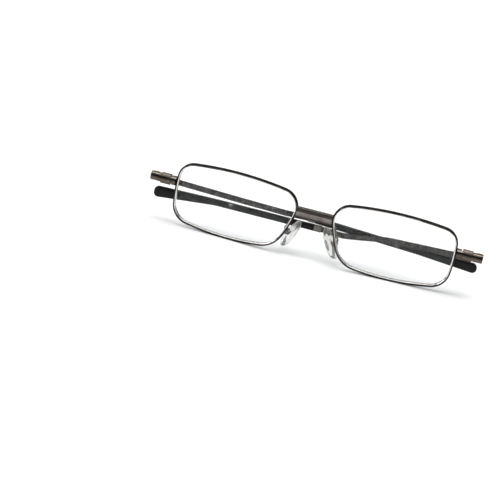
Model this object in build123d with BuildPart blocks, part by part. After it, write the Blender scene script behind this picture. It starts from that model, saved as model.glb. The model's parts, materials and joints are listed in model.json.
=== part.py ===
"""Folding reading glasses: a metal full-rim front, two folding temples and two rocking nose pads.

Frame: X is the wearer's left, Y points back towards the wearer, Z is up. The origin is the bottom centre of
the folded glasses. Everything is modelled on the wearer's left (+X) and mirrored for the wearer's right, and
the temples are modelled folded.
"""

import os
from math import cos, radians, sin

from build123d import *

# Front: the lens datum is the point that the lens outline is drawn around, on the front face of the eyewire.
LENS_X = 33.5
FRONT_Y = -3.21
FRONT_Z = 14.03
WRAP = 4.5  # degrees that each lens plane turns back at its temporal side

# Eyewire centreline: four bowed sides joined by tangent corner arcs. Each row is a corner (before rounding),
# its corner radius, and the bulge of the side that runs on to the next corner.
RIM_CORNERS = [
    ((21.9, 11.0), 6.2, 2.2),
    ((-27.2, 10.8), 6.8, 1.15),
    ((-19.8, -11.6), 10.5, 2.15),
    ((21.4, -11.1), 7.3, 1.0),
]
RIM_WIDTH = 1.04
RIM_DEPTH = 1.9
RIM_ROUND = 0.28
GROOVE_DEPTH = 0.42
GROOVE_HALF = 0.45
BEVEL_ANGLE = 45.0
CUT_PAST = 1.0  # how far a cutting tool runs past what it cuts

LENS_CLEARANCE = 0.04
LENS_FRONT_R = 300.0
LENS_BACK_R = 600.0
LENS_FRONT_APEX = 0.5
LENS_BACK_APEX = -1.6
LENS_BLANK_BACK = 4.0
LENS_BLANK_DEPTH = 6.0

# Bridge bar between the eyewires
BRIDGE_HEIGHT = 4.0
BRIDGE_DEPTH = 2.4
BRIDGE_BOTTOM = FRONT_Z + 2.9
BRIDGE_FRONT = FRONT_Y - 3.0
BRIDGE_ROUND = 0.45
BRIDGE_GROOVE = 0.22
BRIDGE_GROOVE_HEIGHT = 2.96
BRIDGE_REACH = 11.2  # half length before the rims trim it
TRIM_DEPTH = 5.0  # how far the rim's trimming prism reaches either side of the lens plane

# End piece: a stepped barrel, split along its length into two half shells
BARREL_Y = FRONT_Y + 2.3
BARREL_Z = FRONT_Z + 3.4
BARREL_STEPS = [(58.25, 1.9), (58.7, 1.4), (62.7, 2.2), (66.9, 1.8)]  # outer X of each step and its radius
BARREL_START = 55.5
BARREL_CHAMFER = 0.15
SPLIT_GAP = 0.08
LINE_START = 59.0
LINE_LENGTH = 8.7
LINE_Z = 1.25
LINE_WIDTH = 0.22
LINE_REACH = 1.25
CLOSING_SCREW_X = 60.7
CLOSING_SCREW_TOP = 1.9
CLOSING_SCREW_LENGTH = 3.6
CLOSING_HOLE_DEPTH = 1.8

# Temple hinge: the pin stands in a fork at the barrel's outer end
PIN_X = 65.4
PIN_Y = FRONT_Y + 4.4
PIN_Z = FRONT_Z + 3.0
EAR_R = 1.45
EAR_TOP = 1.5
EAR_BOTTOM = -1.4
HINGE_SCREW_LENGTH = 2.8
HINGE_HOLE_DEPTH = 3.0
SLOT_R = 2.6
SLOT_HEIGHT = 1.3
TONGUE_R = 1.4
TONGUE_HEIGHT = 1.2

# Screws share one thread size
SCREW_R = 0.55
SCREW_CLEARANCE = 0.03
SCREW_HEAD_R = 0.95
SCREW_HEAD_HEIGHT = 0.55
SCREW_SLOT = 0.28
SCREW_HOLE = 6.0
HEAD_HOLE = 2.0

# Temples, in the hinge frame: -X runs to the tip, Y is away from the lenses when folded, Z is up the pin.
# Each one steps back just before its sleeve, so that the sleeve lies behind the other temple's bar.
BAR_THICKNESS = 1.1
BAR_HEIGHT = 2.1
BAR_Y = 2.4
BAR_END = 1.0
STEP_START = -53.5
STEP_END = -61.5
STEP_BACK = 1.75
STEP_RADIUS = 6.0
SIDE_RADIUS = 30.0
SLEEVE_Y = BAR_Y + STEP_BACK
FERRULE_START = -62.4
FERRULE_WALL = 0.2
SLEEVE_START = -65.4
SLEEVE_HEIGHT = 2.7
SLEEVE_THICKNESS = 2.0
SLEEVE_ROUND = 0.75
FLARE_START = -106.0
SLEEVE_END = -131.0
END_ROUND = 1.9
FLARE_ROUND = 60.0
CORE_HEIGHT = 1.2
CORE_THICKNESS = 0.8
CORE_END = -104.0
CORE_LAP = 1.0
FIT = 0.02

# Height of each temple's centre line above the pin plane, at distances along it. The wearer's right temple
# folds above the left one where they cross. Flare is how far the widest part reaches above and below that
# line, and tilt is the pin's lean in degrees, which sets how the open temple falls towards the ear.
BAR_LINE = {
    "left": [(BAR_END, -1.3), (-36, -2.68), (-53, -5.5), (SLEEVE_START, -5.5)],
    "right": [(BAR_END, -0.9), (-36, -2.0), (SLEEVE_START, -2.6)],
}
SLEEVE_LINE = {
    "left": [(SLEEVE_START, -5.5), (FLARE_START, -5.5), (SLEEVE_END, -6.7)],
    "right": [(SLEEVE_START, -2.6), (FLARE_START, -4.4), (SLEEVE_END, -5.4)],
}
FLARE = {"left": (2.0, 2.7), "right": (1.9, 2.3)}
TILT = {"left": 4.8, "right": 3.2}

# Nose pads
PAD_CENTRE = (8.0, FRONT_Y + 4.0, FRONT_Z - 6.0)
PAD_AXIS = Vector(6.6, 5.0, -12.6).normalized()
PAD_SPLAY = 30.0
PAD_LENGTH = 15.2
PAD_WIDTH = 6.4
PAD_THICKNESS = 1.8
PAD_ROUND = 0.7
LUG_HEIGHT = 1.5
LUG_WIDTH = 0.8
LUG_LENGTH = 1.4
LUG_ROUND = 0.2
LUG_SINK = 0.2
PAD_PIN_R = 0.3
PAD_PIN_HEAD = 0.35
PAD_PIN_SLOT = 0.18

# Pad arms: a wire from the rim to a forked box, whose two cheeks hold the pad's lug
CHEEK_WIDTH = 0.5
CHEEK_GAP = 0.1
BOX_LENGTH = 1.7
BOX_START = 0.15
BOX_ABOVE_LUG = 0.45
BOX_TOP = 0.9
ARM_R = 0.42
ARM_BEND = 0.8
ARM_ROOT = Vector(8.4, FRONT_Y - 0.5, FRONT_Z + 1.0)
ARM_BACK = Vector(0.2, 3.6, 0)
ARM_DROP = Vector(0.9, 4.3, -3.4)
ARM_ENTRY = Vector(0.7, -0.4, 1.6)


def lens_plane(depth=0.0):
    """The wearer's left lens plane: X outward, Y up, Z towards the viewer, moved back by depth."""
    turn = radians(WRAP)
    outward = (cos(turn), sin(turn), 0)
    forward = (sin(turn), -cos(turn), 0)
    return Plane((LENS_X, FRONT_Y, FRONT_Z), outward, forward).offset(-depth)


def rim_circles():
    """Centres and radii of the outline's eight arcs, side by side with the corner that ends it."""
    corners = [Vector(*corner) for corner, _, _ in RIM_CORNERS]
    middle = sum(corners, Vector(0, 0)) * (1 / len(corners))
    sides = []
    for i, (_, _, bulge) in enumerate(RIM_CORNERS):
        start, end = corners[i], corners[(i + 1) % len(corners)]
        chord = end - start
        outward = Vector(-chord.Y, chord.X).normalized()
        if outward.dot((start + end) * 0.5 - middle) < 0:
            outward = outward * -1
        radius = (chord.length**2 / 4 + bulge**2) / (2 * bulge)
        sides.append(((start + end) * 0.5 - outward * (radius - bulge), radius))
    rounds = []
    for i, (_, radius, _) in enumerate(RIM_CORNERS):
        (before, before_r), (after, after_r) = sides[i - 1], sides[i]
        gap = after - before
        reach, other = before_r - radius, after_r - radius
        along = (gap.length**2 + reach**2 - other**2) / (2 * gap.length)
        height = (reach**2 - along**2) ** 0.5
        unit = gap.normalized()
        foot = before + unit * along
        normal = Vector(-unit.Y, unit.X) * height
        rounds.append((min(foot + normal, foot - normal, key=lambda p: (p - corners[i]).length), radius))
    return sides, rounds


def rim_outline(grow):
    """The rim outline, grown from its centreline, as a face bounded by tangent arcs."""
    sides, rounds = rim_circles()
    count = len(sides)
    joins = []
    for i in range(count):
        for side, side_r in (sides[i - 1], sides[i]):
            joins.append(side + (rounds[i][0] - side).normalized() * (side_r + grow))
    with BuildSketch() as outline:
        with BuildLine():
            for i in range(count):
                (centre, radius), (enter, leave) = rounds[i], joins[2 * i : 2 * i + 2]
                bisector = ((enter + leave) * 0.5 - centre).normalized()
                ThreePointArc(enter, centre + bisector * (radius + grow), leave)
                (centre, radius), following = sides[i], joins[(2 * i + 2) % (2 * count)]
                bisector = ((leave + following) * 0.5 - centre).normalized()
                ThreePointArc(leave, centre + bisector * (radius + grow), following)
        make_face()
    return outline.sketch


def outer_prism():
    """A tall prism of the rim's outer outline, used to trim what is brazed to the rim."""
    with BuildPart() as prism:
        with BuildSketch(lens_plane(TRIM_DEPTH)):
            add(rim_outline(RIM_WIDTH / 2))
        extrude(amount=2 * TRIM_DEPTH)
    return prism.part


def bevel_plate(grow):
    """A plate with a V edge on the eyewire's mid-plane."""
    with BuildPart() as plate:
        for side in (1, -1):
            with BuildSketch(lens_plane(RIM_DEPTH / 2)):
                add(rim_outline(-RIM_WIDTH / 2 + grow))
            extrude(amount=side * GROOVE_HALF, taper=BEVEL_ANGLE)
    return plate.part


def build_eyewire():
    """The rim: a closed band with rounded edges and a V groove round its lens side."""
    groove = bevel_plate(GROOVE_DEPTH)
    with BuildPart() as eyewire:
        with BuildSketch(lens_plane()):
            add(rim_outline(RIM_WIDTH / 2))
        extrude(amount=-RIM_DEPTH)
        fillet(eyewire.edges(), RIM_ROUND)
        with BuildSketch(lens_plane(-CUT_PAST)):
            add(rim_outline(-RIM_WIDTH / 2))
        extrude(amount=-RIM_DEPTH - 2 * CUT_PAST, mode=Mode.SUBTRACT)
        add(groove, mode=Mode.SUBTRACT)
    return eyewire.part


def build_lens():
    """A meniscus lens whose bevelled edge sits in the eyewire's groove."""
    face = lens_plane()
    bevel = bevel_plate(GROOVE_DEPTH - LENS_CLEARANCE)
    with BuildPart() as lens:
        with BuildSketch(lens_plane(LENS_BLANK_BACK)):
            add(rim_outline(-RIM_WIDTH / 2 - LENS_CLEARANCE))
        extrude(amount=LENS_BLANK_DEPTH)
        with Locations(face.offset(LENS_FRONT_APEX - LENS_FRONT_R)):
            Sphere(LENS_FRONT_R, mode=Mode.INTERSECT)
        with Locations(face.offset(LENS_BACK_APEX - LENS_BACK_R)):
            Sphere(LENS_BACK_R, mode=Mode.SUBTRACT)
        add(bevel)
    return lens.part


def build_bridge(prism):
    """A flat bar across the nose with a groove along its front, trimmed to both rims."""
    with BuildPart() as bridge:
        with BuildSketch(Plane.YZ.offset(-BRIDGE_REACH)):
            with Locations((BRIDGE_FRONT + BRIDGE_DEPTH / 2, BRIDGE_BOTTOM + BRIDGE_HEIGHT / 2)):
                RectangleRounded(BRIDGE_DEPTH, BRIDGE_HEIGHT, BRIDGE_ROUND)
            with Locations((BRIDGE_FRONT, BRIDGE_BOTTOM + BRIDGE_GROOVE_HEIGHT)):
                Circle(BRIDGE_GROOVE, mode=Mode.SUBTRACT)
        extrude(amount=2 * BRIDGE_REACH)
        add(prism, mode=Mode.SUBTRACT)
        add(mirror(prism, about=Plane.YZ), mode=Mode.SUBTRACT)
    return bridge.part


def hinge_plane(side):
    """Hinge frame of one temple: Z up the pin, X towards the end piece's outer end."""
    tilt = radians(TILT[side])
    return Plane((PIN_X, PIN_Y, PIN_Z), (1, 0, 0), (0, sin(tilt), cos(tilt)))


def closing_plane():
    """The closing screw goes in from below, so the top of the barrel stays plain."""
    return Plane((CLOSING_SCREW_X, BARREL_Y, BARREL_Z), (1, 0, 0), (0, 0, -1))


def build_end_block(side, prism):
    """The barrel's two half shells with the hinge ears, the slot for the temple and both screw holes."""
    frame = hinge_plane(side)
    with BuildPart() as barrel:
        start = BARREL_START
        for end, radius in BARREL_STEPS:
            with BuildSketch(Plane.YZ.offset(start)):
                with Locations((BARREL_Y, BARREL_Z)):
                    Circle(radius)
            extrude(amount=end - start)
            start = end
        groove_end, groove_r = BARREL_STEPS[1]
        rims = barrel.edges().filter_by(GeomType.CIRCLE)
        rims = rims.filter_by(lambda rim: rim.center().X > groove_end - FIT and rim.radius > groove_r)
        chamfer(rims, BARREL_CHAMFER)
        with BuildSketch(frame.offset(EAR_BOTTOM)):
            Circle(EAR_R)
            with Locations((0, (BARREL_Y - PIN_Y) / 2)):
                Rectangle(2 * EAR_R, PIN_Y - BARREL_Y)
        extrude(amount=EAR_TOP - EAR_BOTTOM)
        with BuildSketch(frame.offset(-SLOT_HEIGHT / 2)):
            Circle(SLOT_R)
        extrude(amount=SLOT_HEIGHT, mode=Mode.SUBTRACT)
        add(prism, mode=Mode.SUBTRACT)
        with BuildSketch(Plane.YZ.offset(LINE_START)):
            with Locations((BARREL_Y - BARREL_STEPS[2][1], BARREL_Z + LINE_Z)):
                Rectangle(2 * LINE_REACH, LINE_WIDTH)
        extrude(amount=LINE_LENGTH, mode=Mode.SUBTRACT)
        holes = (
            (closing_plane(), CLOSING_SCREW_TOP, CLOSING_HOLE_DEPTH),
            (frame, EAR_TOP, HINGE_HOLE_DEPTH),
        )
        for place, head_top, depth in holes:
            with BuildSketch(place.offset(-depth)):
                Circle(SCREW_R + SCREW_CLEARANCE)
            extrude(amount=SCREW_HOLE, mode=Mode.SUBTRACT)
            with BuildSketch(place.offset(head_top - SCREW_HEAD_HEIGHT)):
                Circle(SCREW_HEAD_R + SCREW_CLEARANCE)
            extrude(amount=HEAD_HOLE, mode=Mode.SUBTRACT)
    halves = []
    for keep, shift in ((Keep.TOP, SPLIT_GAP / 2), (Keep.BOTTOM, -SPLIT_GAP / 2)):
        with BuildPart() as half:
            add(barrel.part)
            split(bisect_by=Plane.XY.offset(BARREL_Z + shift), keep=keep)
        halves.append(half.part)
    return halves


def build_screw(place, head_top, length):
    """A slotted screw whose head's top is head_top above the plane, pointing down its normal."""
    with BuildPart() as screw:
        with BuildSketch(place.offset(head_top - length)):
            Circle(SCREW_R)
        extrude(amount=length)
        with BuildSketch(place.offset(head_top - SCREW_HEAD_HEIGHT)):
            Circle(SCREW_HEAD_R)
        extrude(amount=SCREW_HEAD_HEIGHT)
        with BuildSketch(place.offset(head_top - SCREW_SLOT)):
            Rectangle(3 * SCREW_HEAD_R, SCREW_SLOT)
        extrude(amount=SCREW_SLOT, mode=Mode.SUBTRACT)
    return screw.part


def side_plane(frame, depth):
    """The temple's side view: X and Z of the hinge frame, depth behind the pin, looking from the lenses."""
    return Plane(frame.origin + frame.y_dir * depth, frame.x_dir, frame.y_dir * -1)


def build_temple_bar(side):
    """A flat bar that bends in plan and in side view, with a hinge tongue and a core wire for the sleeve."""
    frame = hinge_plane(side)
    with BuildPart() as profile:
        with BuildSketch(side_plane(frame, 0)):
            with BuildLine():
                FilletPolyline(*BAR_LINE[side], radius=SIDE_RADIUS)
                offset(amount=BAR_HEIGHT / 2, side=Side.BOTH, kind=Kind.INTERSECTION)
            make_face()
        extrude(amount=-2 * SLEEVE_Y)
    with BuildPart() as bar:
        with BuildSketch(frame.offset(-2 * SLEEVE_Y)):
            with BuildLine():
                FilletPolyline(
                    (BAR_END - BAR_THICKNESS / 2, BAR_Y),
                    (STEP_START, BAR_Y),
                    (STEP_END, SLEEVE_Y),
                    (SLEEVE_START + BAR_THICKNESS / 2, SLEEVE_Y),
                    radius=STEP_RADIUS,
                )
                offset(amount=BAR_THICKNESS / 2, side=Side.BOTH, kind=Kind.INTERSECTION)
            make_face()
        extrude(amount=3 * SLEEVE_Y)
        add(profile.part, mode=Mode.INTERSECT)
        with BuildSketch(frame.offset(-TONGUE_HEIGHT / 2)):
            Circle(TONGUE_R)
            with Locations(((BAR_END - TONGUE_R) / 2, BAR_Y / 2)):
                Rectangle(TONGUE_R + BAR_END, BAR_Y)
        extrude(amount=TONGUE_HEIGHT)
        with BuildSketch(frame.offset(-TONGUE_HEIGHT)):
            Circle(SCREW_R + SCREW_CLEARANCE)
        extrude(amount=2 * TONGUE_HEIGHT, mode=Mode.SUBTRACT)
        with BuildSketch(side_plane(frame, SLEEVE_Y - CORE_THICKNESS / 2)):
            add(core_outline(side, 0))
        extrude(amount=-CORE_THICKNESS)
    return bar.part


def core_outline(side, grow):
    """Side view of the core wire: it starts inside the bar and follows the sleeve's straight run."""
    mouth, end = SLEEVE_LINE[side][:2]
    slope = (end[1] - mouth[1]) / (end[0] - mouth[0])
    start = (mouth[0] + CORE_LAP, mouth[1] + slope * CORE_LAP)
    stop = CORE_END - grow
    half = CORE_HEIGHT / 2 + grow
    stop_z = start[1] + slope * (stop - start[0])
    with BuildSketch() as outline:
        with BuildLine():
            Polyline(
                (start[0], start[1] + half),
                (stop, stop_z + half),
                (stop, stop_z - half),
                (start[0], start[1] - half),
                close=True,
            )
        make_face()
    return outline.sketch


def build_ferrule(side):
    """The metal collar over the end of the bar, at the mouth of the sleeve."""
    frame = hinge_plane(side)
    end, before = BAR_LINE[side][-1], BAR_LINE[side][-2]
    slope = (end[1] - before[1]) / (end[0] - before[0])
    start_z = end[1] + slope * (FERRULE_START - end[0])
    with BuildPart() as ferrule:
        for grow, mode in ((FERRULE_WALL, Mode.ADD), (FIT, Mode.SUBTRACT)):
            half = BAR_HEIGHT / 2 + grow
            depth = BAR_THICKNESS + 2 * grow
            with BuildSketch(side_plane(frame, SLEEVE_Y - depth / 2)):
                with BuildLine():
                    Polyline(
                        (FERRULE_START, start_z + half),
                        (SLEEVE_START, end[1] + half),
                        (SLEEVE_START, end[1] - half),
                        (FERRULE_START, start_z - half),
                        close=True,
                    )
                make_face()
            extrude(amount=-depth, mode=mode)
    return ferrule.part


def build_temple_tip(side):
    """The sleeve: drawn in side view with its flare, rounded along its edges, hollow for the core wire."""
    frame = hinge_plane(side)
    (mouth, mouth_z), (flare, flare_z), (end, end_z) = SLEEVE_LINE[side]
    up, down = FLARE[side]
    half = SLEEVE_HEIGHT / 2
    with BuildPart() as tip:
        with BuildSketch(side_plane(frame, SLEEVE_Y - SLEEVE_THICKNESS / 2)) as outline:
            with BuildLine():
                Polyline(
                    (mouth, mouth_z + half),
                    (flare, flare_z + half),
                    (end, end_z + up),
                    (end, end_z - down),
                    (flare, flare_z - half),
                    (mouth, mouth_z - half),
                    close=True,
                )
            make_face()
            fillet(outline.vertices().group_by(Axis.X)[0], END_ROUND)
            fillet(outline.vertices().sort_by_distance((flare, flare_z))[:2], FLARE_ROUND)
        extrude(amount=-SLEEVE_THICKNESS)
        broad = tip.faces().filter_by(GeomType.PLANE).sort_by(Axis.Y)
        fillet(broad[0].edges() + broad[-1].edges(), SLEEVE_ROUND)
        with BuildSketch(side_plane(frame, SLEEVE_Y - CORE_THICKNESS / 2 - FIT)):
            add(core_outline(side, FIT))
        extrude(amount=-CORE_THICKNESS - 2 * FIT, mode=Mode.SUBTRACT)
    return tip.part


def pad_plane(offset_out=0.0):
    """Nose pad frame: X down the pad, Y to its back edge, Z out of its eyewire side."""
    splay = radians(PAD_SPLAY)
    across = Vector(sin(splay), cos(splay), 0)
    return Plane(PAD_CENTRE, PAD_AXIS, PAD_AXIS.cross(across)).offset(offset_out)


def build_nose_pad():
    """A soft oval pad with rounded edges and a pinned lug on its eyewire side."""
    with BuildPart() as pad:
        with BuildSketch(pad_plane(-PAD_THICKNESS / 2)):
            Ellipse(PAD_LENGTH / 2, PAD_WIDTH / 2)
        extrude(amount=PAD_THICKNESS)
        fillet(pad.edges(), PAD_ROUND)
        with BuildSketch(pad_plane(PAD_THICKNESS / 2 - LUG_SINK)):
            RectangleRounded(LUG_LENGTH, LUG_WIDTH, LUG_ROUND)
        extrude(amount=LUG_HEIGHT + LUG_SINK)
        pin = pad_plane(PAD_THICKNESS / 2 + LUG_HEIGHT / 2)
        with BuildSketch(Plane(pin.origin, pin.x_dir, pin.y_dir).offset(-PAD_WIDTH / 2)):
            Circle(PAD_PIN_R + FIT)
        extrude(amount=PAD_WIDTH, mode=Mode.SUBTRACT)
    return pad.part


def build_pad_screw():
    """The pad's pivot: a pin through both cheeks and the lug, with a slotted head."""
    pin = pad_plane(PAD_THICKNESS / 2 + LUG_HEIGHT / 2)
    across = Plane(pin.origin, pin.x_dir, pin.y_dir)
    reach = LUG_WIDTH / 2 + CHEEK_GAP + CHEEK_WIDTH
    with BuildPart() as screw:
        with BuildSketch(across.offset(-reach)):
            Circle(PAD_PIN_R)
        extrude(amount=2 * reach)
        with BuildSketch(across.offset(reach)):
            Circle(2 * PAD_PIN_R)
        extrude(amount=PAD_PIN_HEAD)
        with BuildSketch(across.offset(reach + PAD_PIN_HEAD - PAD_PIN_SLOT)):
            Rectangle(6 * PAD_PIN_R, PAD_PIN_SLOT)
        extrude(amount=PAD_PIN_SLOT, mode=Mode.SUBTRACT)
    return screw.part


def build_pad_arm(eyewire):
    """Bent wire from the back of the eyewire to a forked box that holds the pad's lug."""
    box = pad_plane(PAD_THICKNESS / 2 + LUG_HEIGHT / 2)
    box_top = box.origin + box.z_dir * BOX_TOP
    path_points = [ARM_ROOT, ARM_ROOT + ARM_BACK, ARM_ROOT + ARM_DROP, box_top + ARM_ENTRY, box_top]
    with BuildPart() as arm:
        with BuildLine() as path:
            FilletPolyline(*path_points, radius=ARM_BEND)
        with BuildSketch(Plane(ARM_ROOT, z_dir=ARM_BACK)):
            Circle(ARM_R)
        sweep(path=path.line)
        with BuildSketch(box.offset(-LUG_HEIGHT / 2 + BOX_START)):
            Rectangle(BOX_LENGTH, LUG_WIDTH + 2 * CHEEK_GAP + 2 * CHEEK_WIDTH)
        extrude(amount=LUG_HEIGHT + BOX_ABOVE_LUG)
        with BuildSketch(box.offset(-LUG_HEIGHT)):
            Rectangle(2 * BOX_LENGTH, LUG_WIDTH + 2 * CHEEK_GAP)
        extrude(amount=1.5 * LUG_HEIGHT + BOX_START, mode=Mode.SUBTRACT)
        with BuildSketch(Plane(box.origin, box.x_dir, box.y_dir).offset(-PAD_WIDTH / 2)):
            Circle(PAD_PIN_R + FIT)
        extrude(amount=PAD_WIDTH, mode=Mode.SUBTRACT)
        add(eyewire, mode=Mode.SUBTRACT)
    return arm.part


def build_all():
    """Every piece by name. The pieces built once are the same on both sides; the temples differ in height."""
    prism = outer_prism()
    eyewire = build_eyewire()
    both = {
        "eyewire": eyewire,
        "lens": build_lens(),
        "closing_screw": build_screw(closing_plane(), CLOSING_SCREW_TOP, CLOSING_SCREW_LENGTH),
        "pad_arm": build_pad_arm(eyewire),
        "nose_pad": build_nose_pad(),
        "pad_screw": build_pad_screw(),
    }
    pieces = {"bridge": build_bridge(prism)}
    for side in ("left", "right"):
        upper, lower = build_end_block(side, prism)
        made = dict(both)
        made["end_block_upper"] = upper
        made["end_block_lower"] = lower
        made["hinge_screw"] = build_screw(hinge_plane(side), EAR_TOP, HINGE_SCREW_LENGTH)
        made["temple_bar"] = build_temple_bar(side)
        made["temple_ferrule"] = build_ferrule(side)
        made["temple_tip"] = build_temple_tip(side)
        for name, piece in made.items():
            pieces[f"{side}_{name}"] = piece if side == "left" else mirror(piece, about=Plane.YZ)
    return pieces


if __name__ == "__main__":
    os.makedirs("parts", exist_ok=True)
    for name, piece in build_all().items():
        piece.label = name
        export_step(piece, f"parts/{name}.step")
        size = piece.bounding_box().size
        print(f"{name:24s} {len(piece.solids())} solid, {piece.volume:8.2f} mm3, "
              f"{size.X:.1f} x {size.Y:.1f} x {size.Z:.1f}")
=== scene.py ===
"""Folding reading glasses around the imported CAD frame. Sizes are in millimetres unless it says otherwise."""

import json
from math import cos, pi, radians, sin, sqrt

import bmesh
import bpy
from mathutils import Matrix, Vector


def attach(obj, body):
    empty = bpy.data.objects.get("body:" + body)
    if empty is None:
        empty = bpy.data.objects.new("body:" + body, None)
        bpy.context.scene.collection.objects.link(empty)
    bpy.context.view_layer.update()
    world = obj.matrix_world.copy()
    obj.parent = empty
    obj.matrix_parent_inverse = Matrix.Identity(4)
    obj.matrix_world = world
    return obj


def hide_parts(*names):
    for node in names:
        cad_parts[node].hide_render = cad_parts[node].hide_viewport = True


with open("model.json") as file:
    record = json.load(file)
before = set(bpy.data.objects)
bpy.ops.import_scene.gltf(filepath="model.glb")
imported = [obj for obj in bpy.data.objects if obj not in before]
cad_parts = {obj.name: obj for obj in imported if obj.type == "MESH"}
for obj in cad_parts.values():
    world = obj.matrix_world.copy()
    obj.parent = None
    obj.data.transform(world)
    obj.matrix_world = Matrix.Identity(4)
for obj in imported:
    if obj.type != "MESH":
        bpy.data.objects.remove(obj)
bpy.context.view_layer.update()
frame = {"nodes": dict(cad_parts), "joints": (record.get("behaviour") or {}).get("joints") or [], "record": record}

MM = 0.001
SIDES = {"left": 1, "right": -1}
NODES = frame["nodes"]
JOINTS = {joint["name"]: joint for joint in frame["joints"]}

# Points of a mesh closer than this are one point
WELD = 1e-7

# The lens datum, which the rim outline is drawn around, on the front face of the eyewire
DATUM = Vector((33.5, -3.21, 14.03)) * MM
WRAP = radians(4.5)

# Eyewire centreline: corner before rounding, corner radius, bulge of the side on to the next corner
RIM_CORNERS = [
    ((21.9, 11.0), 6.2, 2.2),
    ((-27.2, 10.8), 6.8, 1.15),
    ((-19.8, -11.6), 10.5, 2.15),
    ((21.4, -11.1), 7.3, 1.0),
]
RIM_DEPTH = 1.9
RIM_MIDDLE = Vector((-1, 0))
RIM_STATIONS = 34  # on each side and each corner arc

# Eyewire section, once round from its outer front: outward from its centreline, depth behind its front
RIM_SECTION = [
    (0.51, 0.30), (0.49, 0.17), (0.41, 0.07), (0.28, 0.015), (0.05, 0.005), (-0.16, 0.02), (-0.32, 0.10),
    (-0.46, 0.26), (-0.52, 0.44), (-0.52, 0.62), (-0.12, 0.95), (-0.52, 1.28), (-0.52, 1.56), (-0.46, 1.72),
    (-0.30, 1.86), (0.0, 1.895), (0.30, 1.86), (0.45, 1.75), (0.51, 1.60),
]
HIGHLIGHT_FACING = 0.35  # a rim face this square to the lens, out of 1, is polished and gets the much lighter metal that paints its highlight

# Sleeves in their hinge frames: distance towards the tip, depth away from the lenses, height up the pin
SLEEVE_DEPTH = 4.15
SLEEVE_THICKNESS = 1.98
SLEEVE_ROUND = 0.72
SLEEVE_HALF = 1.35
SLEEVE_MOUTH = 65.4
FLARE_START = 106.0
SLEEVE_END = 131.0
END_ROUND = 1.9
SLEEVE_LINE = {
    "left": [(SLEEVE_MOUTH, -5.5), (FLARE_START, -5.5), (SLEEVE_END, -6.7)],
    "right": [(SLEEVE_MOUTH, -2.6), (FLARE_START, -4.4), (SLEEVE_END, -5.4)],
}
FLARE = {"left": (2.0, 2.7), "right": (1.9, 2.3)}  # reach above and below the line at the end
EASE_REACH = 2.5  # each side of a bend in the line
EASE_STEPS = 8
MOUTH_STEP = 0.02  # length of the lip at the mouth
MOUTH_INSET = 0.12
FLARE_THINNING = 0.12  # share of the thickness lost along the flare
END_THINNING = 0.9
LEAST_FLAT = 0.01  # least half-width of a section between its rounds
SLEEVE_STATIONS = 64
END_STATIONS = 10
SLEEVE_STEPS = 5
SLEEVE_CREASE = radians(50)

# Nose pads, in the frame of the pad's face
PAD_AXIS = Vector((6.6, 5.0, -12.6)).normalized()
PAD_SPLAY = radians(30.0)
PAD_SIZE = (15.2, 6.4, 1.8)
PAD_TO_PIN = 1.65
PAD_LAYERS = 24
PAD_POINTS = 72
PAD_FULLNESS = 0.45  # power of the edge's roundness: the lower, the blunter
PAD_TEARDROP = 0.10  # share that the lower end is wider, and the upper end narrower
PAD_DISH = 0.22
PAD_CROWN = 0.28  # share of the thickness that is lost towards the edge
LUG_SIZE = (1.4, 0.8)
LUG_ROUND = 0.18
LUG_STEPS = 4
LUG_RINGS = ((0.5, 0.0), (1.5, 0.0), (2.0, 0.02), (2.3, 0.1), (2.38, 0.2))  # height, inset

# Floor and light, in metres and watts. Each lamp: name, place, size, power.
FLOOR_SIZE = 8
FLOOR_COLOUR = (0.93, 0.93, 0.93, 1)
FLOOR_ROUGHNESS = 0.55
LAMPS = (
    ("overhead", (0.0, 0.15, 0.9), (1.2, 0.6), 3.8),
    ("left_key", (-0.75, -0.35, 0.55), (0.4, 0.7), 5.2),
    ("right_fill", (0.8, -0.25, 0.4), (0.3, 0.7), 0.9),
    ("back_edge", (0.1, 0.8, 0.5), (1.0, 0.3), 2.0),
)
LAMP_AIM = Vector((0, 0, 0.014))
SKY_STRENGTH = 1.35
SKY_SPREAD = radians(70)
WORLD_COLOUR = (0.95, 0.97, 1.0, 1)
WORLD_STRENGTH = 0.2

# Noises of the finishes: scale per metre, detail, and the stretch along each axis where it isn't even
CLOUDS = (420, 5)
GRAIN = (2600, 3)
MARKS = (1500, 3, (2.2, 0.3, 0.3))
WAVER = (300, 2, (1, 0.1, 0.1))
MOULD = (5200, 2)
HANDLING = (160, 4, (0.4, 1, 1))
SMEARS = (90, 5)
NOISE_ROUGHNESS = 0.55
NOISE_SPAN = (0.3, 0.7)  # most values of a noise lie in it

# Relief of the finishes: depth in metres, and strength
GRAIN_RELIEF = (0.00001, 0.3)
MOULD_RELIEF = (0.000015, 0.25)
STREAK_STRENGTH = 0.4

# Metals. Stops are (place on the ramp, brightness); the clouds run between two colours from stop to stop.
CLOUD_STOPS = (0.3, 0.72)
WORN_STOPS = [(0.53, 0.0), (0.6, 1.0)]
ROUGHNESS_SPREAD = (0.7, 1.4)  # times the metal's own roughness
GRAZING_GAIN = 3.0  # edge-on reflection, times the lighter colour
# Waver of the painted reflection bands along the piece, in millimetres
REFLECTION_BAND_WAVER = 0.25
BAR_COLOURS = ((0.03, 0.029, 0.028), (0.085, 0.08, 0.075))
BAR_GRAZING = (0.22, 0.21, 0.2, 1)
BAR_ROUGHNESS = (0.18, 0.34)
MARK_STOPS = [(0.38, 0.55), (0.6, 1.5)]
SHOE_STOPS = [(0.3, 1.0), (0.7, 1.1)]
SHOE_START = 42.5  # outward from the middle of the glasses
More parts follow.
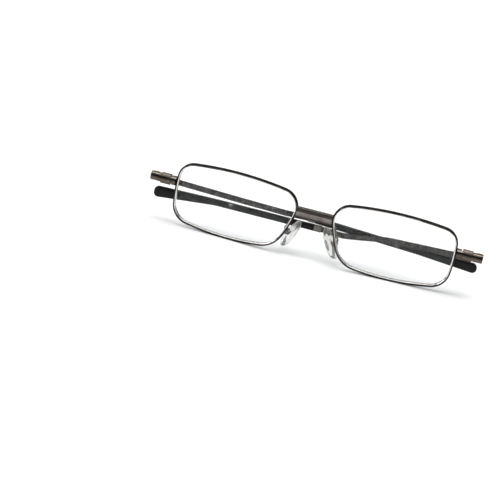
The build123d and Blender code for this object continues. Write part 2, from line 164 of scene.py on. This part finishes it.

# Lengthwise bands of painted reflection, bright highlight lines and dark reflected lines: heights in millimetres
# of the ramp's ends, then (place on the ramp, brightness)
BRIDGE_PAINTED_REFLECTIONS = ((17.0, 21.1), [(0.0, 0.3), (0.14, 0.45), (0.2, 1.3), (0.5, 1.9), (0.58, 1.6), (0.61, 0.5),
                               (0.66, 0.4), (0.7, 1.1), (0.76, 1.0), (0.8, 0.3), (0.88, 0.4), (1.0, 1.3)])
BARREL_PAINTED_REFLECTIONS = ((15.6, 19.7), [(0.0, 0.6), (0.2, 1.25), (0.45, 0.95), (0.58, 0.8), (0.64, 0.2), (0.69, 0.25),
                               (0.73, 3.4), (0.81, 3.0), (0.86, 0.7), (0.92, 1.1), (1.0, 1.5)])

# Plastic and glass. Stops are (place on the ramp, colour).
PLASTIC_STOPS = [(0.3, (0.003, 0.003, 0.003)), (0.75, (0.007, 0.007, 0.0075))]
PLASTIC_IOR = 1.4
PLASTIC_SPECULAR = 0.3
PLASTIC_ROUGHNESS = (0.24, 0.4)
CLEAR_IOR = 1.5
SMEAR_SPREAD = (0.6, 1.6)  # times the surface's own roughness

# Camera, at the photograph's viewing angle; its nearest distance is in metres
VIEW_AZIMUTH = radians(7.02)
VIEW_ELEVATION = radians(18.23)
VIEW_ROLL = radians(12.37)
VIEW_TARGET = Vector((-21.94, -3.21, -1.85)) * MM
VIEW_DISTANCE = 710.5 * MM
VIEW_LENS = 130.06
VIEW_NEAREST = 0.01


# ---------------------------------------------------------------- mesh helpers


def new_object(name, verts, faces):
    """A smooth-shaded mesh object, with doubled points joined and its faces turned outward."""
    mesh = bpy.data.meshes.new(name)
    mesh.from_pydata([tuple(v) for v in verts], [], faces)
    built = bmesh.new()
    built.from_mesh(mesh)
    bmesh.ops.remove_doubles(built, verts=built.verts, dist=WELD)
    bmesh.ops.recalc_face_normals(built, faces=built.faces)
    built.to_mesh(mesh)
    built.free()
    for polygon in mesh.polygons:
        polygon.use_smooth = True
    piece = bpy.data.objects.new(name, mesh)
    bpy.context.scene.collection.objects.link(piece)
    return piece


def skin(name, rings, closed=False):
    """Joins rings of points into a tube: closed on itself, or with a face over each end."""
    count = len(rings[0])
    verts = [point for ring in rings for point in ring]
    faces = []
    for i in range(len(rings) if closed else len(rings) - 1):
        a, b = i * count, (i + 1) % len(rings) * count
        faces += [(a + j, a + (j + 1) % count, b + (j + 1) % count, b + j) for j in range(count)]
    if not closed:
        faces += [tuple(range(count)), tuple(range((len(rings) - 1) * count, len(rings) * count))]
    return new_object(name, verts, faces)


def keep_edges(piece, angle):
    """Smooth shading that stays crisp across edges sharper than angle."""
    built = bmesh.new()
    built.from_mesh(piece.data)
    for edge in built.edges:
        if len(edge.link_faces) == 2 and edge.calc_face_angle(0) > angle:
            edge.smooth = False
    built.to_mesh(piece.data)
    built.free()


def rounded_rectangle(width, height, radius, steps):
    """Points of a rounded rectangle around the origin, anticlockwise from the right."""
    points = []
    for turn, (sx, sy) in enumerate(((1, 1), (-1, 1), (-1, -1), (1, -1))):
        centre = (sx * (width / 2 - radius), sy * (height / 2 - radius))
        for step in range(steps + 1):
            angle = (turn + step / steps) * pi / 2
            points.append((centre[0] + radius * cos(angle), centre[1] + radius * sin(angle)))
    return points


def interpolate(line, at):
    """Height of a polyline of (distance, height) at a distance, carried on past its ends."""
    for i in range(len(line) - 1):
        if at <= line[i + 1][0] or i == len(line) - 2:
            (x0, y0), (x1, y1) = line[i], line[i + 1]
            return y0 + (y1 - y0) * (at - x0) / (x1 - x0)


def eased(line, at):
    """The polyline with its corners eased: its mean height over the reach on both sides."""
    offsets = [EASE_REACH * (2 * i / EASE_STEPS - 1) for i in range(EASE_STEPS + 1)]
    return sum(interpolate(line, at + offset) for offset in offsets) / len(offsets)


def smoothstep(low, high, at):
    """0 up to low and 1 from high on, with a soft rise between them."""
    share = min(max((at - low) / (high - low), 0.0), 1.0)
    return share * share * (3 - 2 * share)


def finish_piece(piece, body, nodes, slot):
    """Gives a drawn piece its slot's material and body, and the CAD nodes that it stands in for."""
    piece.data.materials.append(MATERIALS[slot])
    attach(piece, body)
    if nodes:
        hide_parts(*nodes)


# ---------------------------------------------------------------- materials


class Shader:
    """A material's node tree, with short calls for the nodes that the finishes share."""

    def __init__(self, name):
        self.material = bpy.data.materials.new(name)
        self.material.use_nodes = True
        self.tree = self.material.node_tree
        self.tree.nodes.clear()
        self.output = self.node("ShaderNodeOutputMaterial")
        self.place = self.node("ShaderNodeTexCoord").outputs["Object"]

    def node(self, kind, **values):
        """A new node, with its inputs or properties of those names set."""
        made = self.tree.nodes.new(kind)
        for key, value in values.items():
            if key in made.inputs:
                made.inputs[key].default_value = value
            else:
                setattr(made, key, value)
        return made

    def link(self, start, end):
        self.tree.links.new(start, end)

    def noise(self, scale, detail, stretch=None):
        """Noise in the object's own space; stretch squeezes it along each axis."""
        made = self.node("ShaderNodeTexNoise", Scale=scale, Detail=detail, Roughness=NOISE_ROUGHNESS)
        start = self.place
        if stretch:
            mapping = self.node("ShaderNodeMapping")
            mapping.inputs["Scale"].default_value = stretch
            self.link(self.place, mapping.inputs["Vector"])
            start = mapping.outputs["Vector"]
        self.link(start, made.inputs["Vector"])
        return made.outputs["Fac"]

    def ramp(self, start, stops):
        """A colour ramp: stops are (position, colour or grey)."""
        made = self.node("ShaderNodeValToRGB")
        elements = made.color_ramp.elements
        while len(elements) < len(stops):
            elements.new(0.5)
        for element, (position, colour) in zip(elements, stops):
            element.position = position
            element.color = (*colour, 1) if isinstance(colour, tuple) else (colour, colour, colour, 1)
        self.link(start, made.inputs["Fac"])
        return made.outputs["Color"]

    def remap(self, start, low, high):
        """Spreads a noise between low and high."""
        made = self.node("ShaderNodeMapRange")
        made.inputs["From Min"].default_value, made.inputs["From Max"].default_value = NOISE_SPAN
        made.inputs["To Min"].default_value = low
        made.inputs["To Max"].default_value = high
        self.link(start, made.inputs["Value"])
        return made.outputs["Result"]

    def bump(self, start, depth, strength):
        """A normal for relief of that depth."""
        made = self.node("ShaderNodeBump", Strength=strength, Distance=depth)
        self.link(start, made.inputs["Height"])
        return made.outputs["Normal"]

    def multiply(self, first, second):
        """The product of two colours."""
        mix = self.node("ShaderNodeMix", data_type="RGBA", blend_type="MULTIPLY")
        mix.inputs["Factor"].default_value = 1.0
        self.link(first, mix.inputs["A"])
        self.link(second, mix.inputs["B"])
        return mix.outputs["Result"]

    def blend(self, share, first, colour):
        """From first to a plain colour, by share."""
        mix = self.node("ShaderNodeMix", data_type="RGBA")
        self.link(share, mix.inputs["Factor"])
        self.link(first, mix.inputs["A"])
        mix.inputs["B"].default_value = (*colour, 1)
        return mix.outputs["Result"]

    def height(self, low, high):
        """0 at height low and 1 at height high, in millimetres, wavering a little along the piece: the mask for
        the painted reflection bands.
        """
        parts = self.node("ShaderNodeSeparateXYZ")
        self.link(self.place, parts.inputs["Vector"])
        waver = self.node("ShaderNodeMath", operation="MULTIPLY_ADD")
        self.link(self.noise(*WAVER), waver.inputs[0])
        waver.inputs[1].default_value = REFLECTION_BAND_WAVER * MM
        self.link(parts.outputs["Z"], waver.inputs[2])
        spread = self.node("ShaderNodeMapRange")
        spread.inputs["From Min"].default_value = low * MM
        spread.inputs["From Max"].default_value = high * MM
        self.link(waver.outputs["Value"], spread.inputs["Value"])
        return spread.outputs["Result"]

    def finish(self, surface):
        """The material, once its surface is joined to the output."""
        self.link(surface, self.output.inputs["Surface"])
        return self.material


def metal(name, dark, light, rough, grain, wear=None, painted_reflections=None):
    """Plated metal: clouded colour, polishing lines along grain, brighter worn edges, and lengthwise bands of
    painted reflection where they are given.
    """
    shader = Shader(name)
    clouds = shader.noise(*CLOUDS)
    fine = shader.noise(*GRAIN, grain)
    grazing = [min(GRAZING_GAIN * part, 1.0) for part in light]
    surface = shader.node("ShaderNodeBsdfPrincipled", Metallic=1.0)
    surface.inputs["Specular Tint"].default_value = (*grazing, 1)
    colour = shader.ramp(clouds, list(zip(CLOUD_STOPS, (dark, light))))
    if painted_reflections:
        ends, stops = painted_reflections
        # Multiplies in the painted reflection bands: highlight lines and dark reflected lines
        colour = shader.multiply(colour, shader.ramp(shader.height(*ends), stops))
    if wear:
        edges = shader.node("ShaderNodeNewGeometry").outputs["Pointiness"]
        colour = shader.blend(shader.ramp(edges, WORN_STOPS), colour, wear)
    shader.link(colour, surface.inputs["Base Color"])
    smoothest, roughest = ROUGHNESS_SPREAD
    shader.link(shader.remap(fine, rough * smoothest, rough * roughest), surface.inputs["Roughness"])
    shader.link(shader.bump(fine, *GRAIN_RELIEF), surface.inputs["Normal"])
    return shader.finish(surface.outputs["BSDF"])


def bar_metal():
    """The temple bars: crosswise polishing marks, and a smoother lighter shoe at the hinge end."""
    shader = Shader("temple_gunmetal")
    clouds = shader.noise(*CLOUDS)
    marks = shader.noise(*MARKS)
    along = shader.node("ShaderNodeSeparateXYZ")
    shader.link(shader.place, along.inputs["Vector"])
    reach = shader.node("ShaderNodeMath", operation="ABSOLUTE")
    shader.link(along.outputs["X"], reach.inputs[0])
    shoe = shader.node("ShaderNodeMath", operation="GREATER_THAN")
    shader.link(reach.outputs["Value"], shoe.inputs[0])
    shoe.inputs[1].default_value = SHOE_START * MM
    surface = shader.node("ShaderNodeBsdfPrincipled", Metallic=1.0)
    surface.inputs["Specular Tint"].default_value = BAR_GRAZING
    plain = shader.ramp(clouds, list(zip(CLOUD_STOPS, BAR_COLOURS)))
    marked = shader.multiply(plain, shader.ramp(marks, MARK_STOPS))
    smooth = shader.multiply(plain, shader.ramp(marks, SHOE_STOPS))
    mix = shader.node("ShaderNodeMix", data_type="RGBA")
    shader.link(shoe.outputs["Value"], mix.inputs["Factor"])
    shader.link(marked, mix.inputs["A"])
    shader.link(smooth, mix.inputs["B"])
    shader.link(mix.outputs["Result"], surface.inputs["Base Color"])
    shader.link(shader.remap(marks, *BAR_ROUGHNESS), surface.inputs["Roughness"])
    shader.link(shader.bump(marks, *GRAIN_RELIEF), surface.inputs["Normal"])
    return shader.finish(surface.outputs["BSDF"])


def black_plastic():
    """Moulded semi-gloss black with a faint mould texture and handling smears."""
    shader = Shader("tip_black_plastic")
    mould = shader.noise(*MOULD)
    smears = shader.noise(*HANDLING)
    surface = shader.node("ShaderNodeBsdfPrincipled", IOR=PLASTIC_IOR)
    surface.inputs["Specular IOR Level"].default_value = PLASTIC_SPECULAR
    shader.link(shader.ramp(smears, PLASTIC_STOPS), surface.inputs["Base Color"])
    shader.link(shader.remap(smears, *PLASTIC_ROUGHNESS), surface.inputs["Roughness"])
    shader.link(shader.bump(mould, *MOULD_RELIEF), surface.inputs["Normal"])
    return shader.finish(surface.outputs["BSDF"])


def clear(name, tint, coat, roughness, gain, base_share, streaks=0.0):
    """Clear plastic or glass as a film: see-through, with reflections that grow at grazing angles."""
    shader = Shader(name)
    through = shader.node("ShaderNodeBsdfTransparent")
    through.inputs["Color"].default_value = (*tint, 1)
    gloss = shader.node("ShaderNodeBsdfGlossy")
    gloss.inputs["Color"].default_value = (*coat, 1)
    smears = shader.noise(*SMEARS)
    clearest, dullest = SMEAR_SPREAD
    shader.link(shader.remap(smears, roughness * clearest, roughness * dullest), gloss.inputs["Roughness"])
    grazing = shader.node("ShaderNodeFresnel", IOR=CLEAR_IOR)
    share = shader.node("ShaderNodeMath", operation="MULTIPLY_ADD")
    shader.link(grazing.outputs["Fac"], share.inputs[0])
    share.inputs[1].default_value = gain
    share.inputs[2].default_value = base_share
    mix = shader.node("ShaderNodeMixShader")
    shader.link(share.outputs["Value"], mix.inputs["Fac"])
    shader.link(through.outputs["BSDF"], mix.inputs[1])
    shader.link(gloss.outputs["BSDF"], mix.inputs[2])
    if streaks:
        shader.link(shader.bump(smears, streaks, STREAK_STRENGTH), gloss.inputs["Normal"])
    return shader.finish(mix.outputs["Shader"])


MATERIALS = {
    "rim_metal": metal(
        "rim_gunmetal", dark=(0.016, 0.0145, 0.0135), light=(0.05, 0.044, 0.04), rough=0.24, grain=(1, 6, 1),
        wear=(0.14, 0.115, 0.10),
    ),
    # The bridge and the end pieces carry painted reflection bands in their colour
    "bridge_metal": metal(
        "bridge_gunmetal", dark=(0.075, 0.068, 0.062), light=(0.14, 0.125, 0.113), rough=0.26,
        grain=(0.08, 6, 6), painted_reflections=BRIDGE_PAINTED_REFLECTIONS,
    ),
    "end_metal": metal(
        "end_piece_gunmetal", dark=(0.07, 0.06, 0.051), light=(0.13, 0.11, 0.093), rough=0.2,
        grain=(0.1, 6, 6), painted_reflections=BARREL_PAINTED_REFLECTIONS,
    ),
    "temple_metal": bar_metal(),
    "ferrule_metal": metal(
        "ferrule_gunmetal", dark=(0.07, 0.066, 0.06), light=(0.16, 0.15, 0.14), rough=0.16, grain=(6, 1, 1),
    ),
    "fine_metal": metal(
        "pad_arm_steel", dark=(0.12, 0.11, 0.10), light=(0.22, 0.20, 0.18), rough=0.25, grain=(1, 1, 4),
    ),
    "screw_metal": metal(
        "screw_steel", dark=(0.12, 0.11, 0.10), light=(0.25, 0.23, 0.21), rough=0.22, grain=(4, 4, 1),
    ),
    "tip_black": black_plastic(),
    "pad_clear": clear(
        "pad_silicone", tint=(0.86, 0.865, 0.85), coat=(1, 1, 1), roughness=0.07, gain=0.9, base_share=0.02,
        streaks=0.00003,
    ),
    "lens_clear": clear(
        "lens_coated", tint=(0.992, 0.995, 0.995), coat=(0.92, 0.95, 0.95), roughness=0.02, gain=0.3,
        base_share=0.0,
    ),
    # A much lighter copy of the rim metal: painted highlight for the rim's faces towards the lens
    "rim_painted_highlight": metal(
        "rim_bevel_painted_highlight", dark=(0.62, 0.60, 0.58), light=(0.80, 0.78, 0.75), rough=0.16, grain=(1, 6, 1),
    ),
}


def dress_frame():
    """Gives each CAD node its slot's material and smooth shading that stays crisp at its edges."""
    for part in frame["record"]["subparts"]:
        piece = NODES[part["node"]]
        piece.data.materials.clear()
        piece.data.materials.append(MATERIALS[part["material_slot"]])
        for polygon in piece.data.polygons:
            polygon.use_smooth = True


# ---------------------------------------------------------------- floor, light and camera


def place_floor():
    """A pale floor that runs past the view on every side."""
    bpy.ops.mesh.primitive_plane_add(size=FLOOR_SIZE, location=(0, 0, 0))
    floor = bpy.context.object
    floor.name = "floor"
    shader = Shader("floor_pale")
    surface = shader.node("ShaderNodeBsdfPrincipled", Roughness=FLOOR_ROUGHNESS)
    surface.inputs["Base Color"].default_value = FLOOR_COLOUR
    floor.data.materials.append(shader.finish(surface.outputs["BSDF"]))


def place_lamp(name, spot, size, power):
    """A soft panel that faces the middle of the glasses."""
    data = bpy.data.lights.new(name, "AREA")
    data.shape = "RECTANGLE"
    data.size, data.size_y = size
    data.energy = power
    light = bpy.data.objects.new(name, data)
    light.location = spot
    light.rotation_euler = (LAMP_AIM - Vector(spot)).to_track_quat("-Z", "Y").to_euler()
    bpy.context.scene.collection.objects.link(light)


def place_lights():
    """The lamps, a wide soft sky from straight above, and a dim room."""
    for lamp in LAMPS:
        place_lamp(*lamp)
    data = bpy.data.lights.new("sky", "SUN")
    data.energy = SKY_STRENGTH
    data.angle = SKY_SPREAD
    sky = bpy.data.objects.new("sky", data)
    bpy.context.scene.collection.objects.link(sky)
    world = bpy.data.worlds.new("studio")
    world.use_nodes = True
    background = world.node_tree.nodes["Background"]
    background.inputs["Color"].default_value = WORLD_COLOUR
    background.inputs["Strength"].default_value = WORLD_STRENGTH
    bpy.context.scene.world = world
    bpy.context.scene.view_settings.view_transform = "Standard"


def place_camera():
    """The photograph's view: a long lens a little above and to the right, rolled."""
    out = cos(VIEW_ELEVATION)
    back = Vector((sin(VIEW_AZIMUTH) * out, -cos(VIEW_AZIMUTH) * out, sin(VIEW_ELEVATION)))
    level = Vector((cos(VIEW_AZIMUTH), sin(VIEW_AZIMUTH), 0))
    raised = back.cross(level)
    right = level * cos(VIEW_ROLL) + raised * sin(VIEW_ROLL)
    up = back.cross(right)
    data = bpy.data.cameras.new("camera")
    data.lens = VIEW_LENS
    data.clip_start = VIEW_NEAREST
    camera = bpy.data.objects.new("camera", data)
    turned = Matrix((right, up, back)).transposed().to_4x4()
    camera.matrix_world = Matrix.Translation(VIEW_TARGET + back * VIEW_DISTANCE) @ turned
    bpy.context.scene.collection.objects.link(camera)
    bpy.context.scene.camera = camera


# ---------------------------------------------------------------- rims


def rim_circles():
    """Centres and radii of the outline's sides, and of the corner arcs that each side starts from."""
    corners = [Vector(corner) for corner, _, _ in RIM_CORNERS]
    middle = sum(corners, Vector((0, 0))) / len(corners)
    sides = []
    for i, (_, _, bulge) in enumerate(RIM_CORNERS):
        start, end = corners[i], corners[(i + 1) % len(corners)]
        chord = end - start
        outward = Vector((-chord.y, chord.x)).normalized()
        if outward.dot((start + end) / 2 - middle) < 0:
            outward = -outward
        radius = (chord.length**2 / 4 + bulge**2) / (2 * bulge)
        sides.append(((start + end) / 2 - outward * (radius - bulge), radius))
    rounds = []
    for i, (_, radius, _) in enumerate(RIM_CORNERS):
        (before, before_r), (after, after_r) = sides[i - 1], sides[i]
        gap = after - before
        along = (gap.length**2 + (before_r - radius) ** 2 - (after_r - radius) ** 2) / (2 * gap.length)
        unit = gap.normalized()
        normal = Vector((-unit.y, unit.x)) * sqrt((before_r - radius) ** 2 - along**2)
        foot = before + unit * along
        rounds.append((min(foot + normal, foot - normal, key=lambda p: (p - corners[i]).length), radius))
    return sides, rounds


def rim_stations():
    """(point on the centreline, outward direction) all round the outline."""
    sides, rounds = rim_circles()
    stations = []
    for i in range(len(sides)):
        before, corner, after = sides[i - 1], rounds[i], sides[i]
        following = rounds[(i + 1) % len(rounds)]
        starts = [(corner, (corner[0] - before[0]).normalized(), (corner[0] - after[0]).normalized()),
                  (after, (corner[0] - after[0]).normalized(), (following[0] - after[0]).normalized())]
        for (centre, radius), first, last in starts:
            for step in range(RIM_STATIONS):
                direction = first.slerp(last, step / RIM_STATIONS).normalized()
                stations.append((centre + direction * radius, direction))
    return stations


def lens_place(side, point, depth):
    """A point of the lens plane, outward and up from the datum, depth behind its front."""
    across = point.x * cos(WRAP) - depth * sin(WRAP)
    back = point.x * sin(WRAP) + depth * cos(WRAP)
    spot = DATUM + Vector((across, back, point.y)) * MM
    return Vector((spot.x * SIDES[side], spot.y, spot.z))


def build_rim(side):
    """The eyewire: dark plating outside, and polished faces towards the lens in a much lighter metal that paints
    the highlight along the inner bevel.
    """
    rings = [[lens_place(side, point + outward * reach, depth) for reach, depth in RIM_SECTION]
             for point, outward in rim_stations()]
    rim = skin(f"{side}_rim", rings, closed=True)
    finish_piece(rim, "front", [f"{side}_eyewire"], "rim_metal")
    # The faces towards the lens get the much lighter metal, a painted highlight along the inner bevel
    rim.data.materials.append(MATERIALS["rim_painted_highlight"])
    middle = lens_place(side, RIM_MIDDLE, RIM_DEPTH / 2)
    for polygon in rim.data.polygons:
        inward = middle - polygon.center
        inward.y = 0
        if polygon.normal.dot(inward.normalized()) > HIGHLIGHT_FACING:
            polygon.material_index = 1


# ---------------------------------------------------------------- temples


def hinge_frame(side):
    """Origin, direction to the tip, direction away from the lenses, and up the pin."""
    joint = JOINTS[f"{side}_temple_fold"]
    up = Vector(joint["axis"]).normalized()
    if up.z < 0:
        up = -up
    return Vector(joint["pos_m"]), Vector((-SIDES[side], 0, 0)), Vector((0, up.z, -up.y)), up


def temple_ring(side, along, depth, height, section):
    """Places a section (depth, height) across the temple at a distance along it."""
    origin, tipward, away, up = hinge_frame(side)
    return [origin + (tipward * along + away * (depth + u) + up * (height + v)) * MM
            for u, v in section]


def sleeve_profile(side, along):
    """Centre height, upper reach and lower reach of the sleeve at a distance along it."""
    share = min(max((along - FLARE_START) / (SLEEVE_END - FLARE_START), 0), 1)
    up, down = FLARE[side]
    centre = eased(SLEEVE_LINE[side], min(along, SLEEVE_END))
    top = SLEEVE_HALF + (up - SLEEVE_HALF) * share
    bottom = SLEEVE_HALF + (down - SLEEVE_HALF) * share
    into_end = along - (SLEEVE_END - END_ROUND)
    if into_end > 0:
        cut = END_ROUND - sqrt(max(END_ROUND**2 - into_end**2, 0))
        top, bottom = top - cut, bottom - cut
    return centre, top, bottom


def sleeve_stations():
    """Distances of the sleeve's sections: its mouth, its length and its rounded end."""
    start = SLEEVE_MOUTH + MOUTH_STEP
    length = SLEEVE_END - END_ROUND - SLEEVE_MOUTH
    straight = [start + length * i / SLEEVE_STATIONS for i in range(SLEEVE_STATIONS)]
    turns = [pi / 2 * i / END_STATIONS for i in range(END_STATIONS + 1)]
    return [SLEEVE_MOUTH] + straight + [SLEEVE_END - END_ROUND + END_ROUND * sin(turn) for turn in turns]


def build_sleeve(side):
    """The black sleeve: softly rounded, thinner towards a full-height rounded end."""
    rings = []
    for along in sleeve_stations():
        centre, top, bottom = sleeve_profile(side, along)
        thick = SLEEVE_THICKNESS * (1 - FLARE_THINNING * smoothstep(FLARE_START, SLEEVE_END, along))
        into_end = max(along - (SLEEVE_END - END_ROUND), 0)
        thick -= END_THINNING * (1 - sqrt(max(1 - (into_end / END_ROUND) ** 2, 0)))
        if along == SLEEVE_MOUTH:
            top, bottom, thick = top - MOUTH_INSET, bottom - MOUTH_INSET, thick - 2 * MOUTH_INSET
        corner = min(SLEEVE_ROUND, thick / 2 - LEAST_FLAT, (top + bottom) / 2 - LEAST_FLAT)
        section = rounded_rectangle(thick, top + bottom, corner, SLEEVE_STEPS)
        rings.append(temple_ring(side, along, SLEEVE_DEPTH, centre + (top - bottom) / 2, section))
    sleeve = skin(f"{side}_sleeve", rings)
    finish_piece(sleeve, f"{side}_temple", [f"{side}_temple_tip"], "tip_black")
    keep_edges(sleeve, SLEEVE_CREASE)


# ---------------------------------------------------------------- nose pads


def pad_frame(side):
    """Centre of the pad, down the pad, across it, and out of its face away from the nose."""
    joint = JOINTS["left_pad_rock"]
    across = Vector((sin(PAD_SPLAY), cos(PAD_SPLAY), 0))
    out = PAD_AXIS.cross(across).normalized()
    across = out.cross(PAD_AXIS)
    centre = Vector(joint["pos_m"]) - out * PAD_TO_PIN * MM
    turn = Vector((SIDES[side], 1, 1))
    return centre * turn, PAD_AXIS * turn, across * turn, out * turn


def build_pad_body(side):
    """A rounded teardrop, domed on the nose side and dished on the other."""
    centre, down, across, out = pad_frame(side)
    length, width, thick = PAD_SIZE
    rings = []
    for i in range(1, PAD_LAYERS):
        tilt = pi * i / PAD_LAYERS
        layer, spread = cos(tilt), sin(tilt) ** PAD_FULLNESS
        crown = 1 - PAD_CROWN + PAD_CROWN * spread
        ring = []
        for j in range(PAD_POINTS):
            turn = 2 * pi * j / PAD_POINTS
            along = length / 2 * cos(turn) * spread
            sideways = width / 2 * sin(turn) * spread * (1 + PAD_TEARDROP * cos(turn))
            dish = PAD_DISH / 2 - PAD_DISH * (1 - (along / (length / 2)) ** 2)
            offset = dish + layer * thick / 2 * crown
            ring.append(centre + (down * along + across * sideways + out * offset) * MM)
        rings.append(ring)
    return skin(f"{side}_pad_body", rings)


def build_pad_lug(side):
    """The block on the back of the pad that its screw holds."""
    centre, down, across, out = pad_frame(side)
    length, width = LUG_SIZE
    rings = []
    for height, inset in LUG_RINGS:
        outline = rounded_rectangle(length - 2 * inset, width - 2 * inset, LUG_ROUND, LUG_STEPS)
        rings.append([centre + (down * u + across * v + out * height) * MM for u, v in outline])
    return skin(f"{side}_pad_lug", rings)


def build_pad(side):
    """A soft clear pad with its lug."""
    finish_piece(build_pad_body(side), f"{side}_pad", [f"{side}_nose_pad"], "pad_clear")
    finish_piece(build_pad_lug(side), f"{side}_pad", [], "pad_clear")


# ---------------------------------------------------------------- the scene


dress_frame()
for name in SIDES:
    build_rim(name)
    build_sleeve(name)
    build_pad(name)
place_floor()
place_lights()
place_camera()
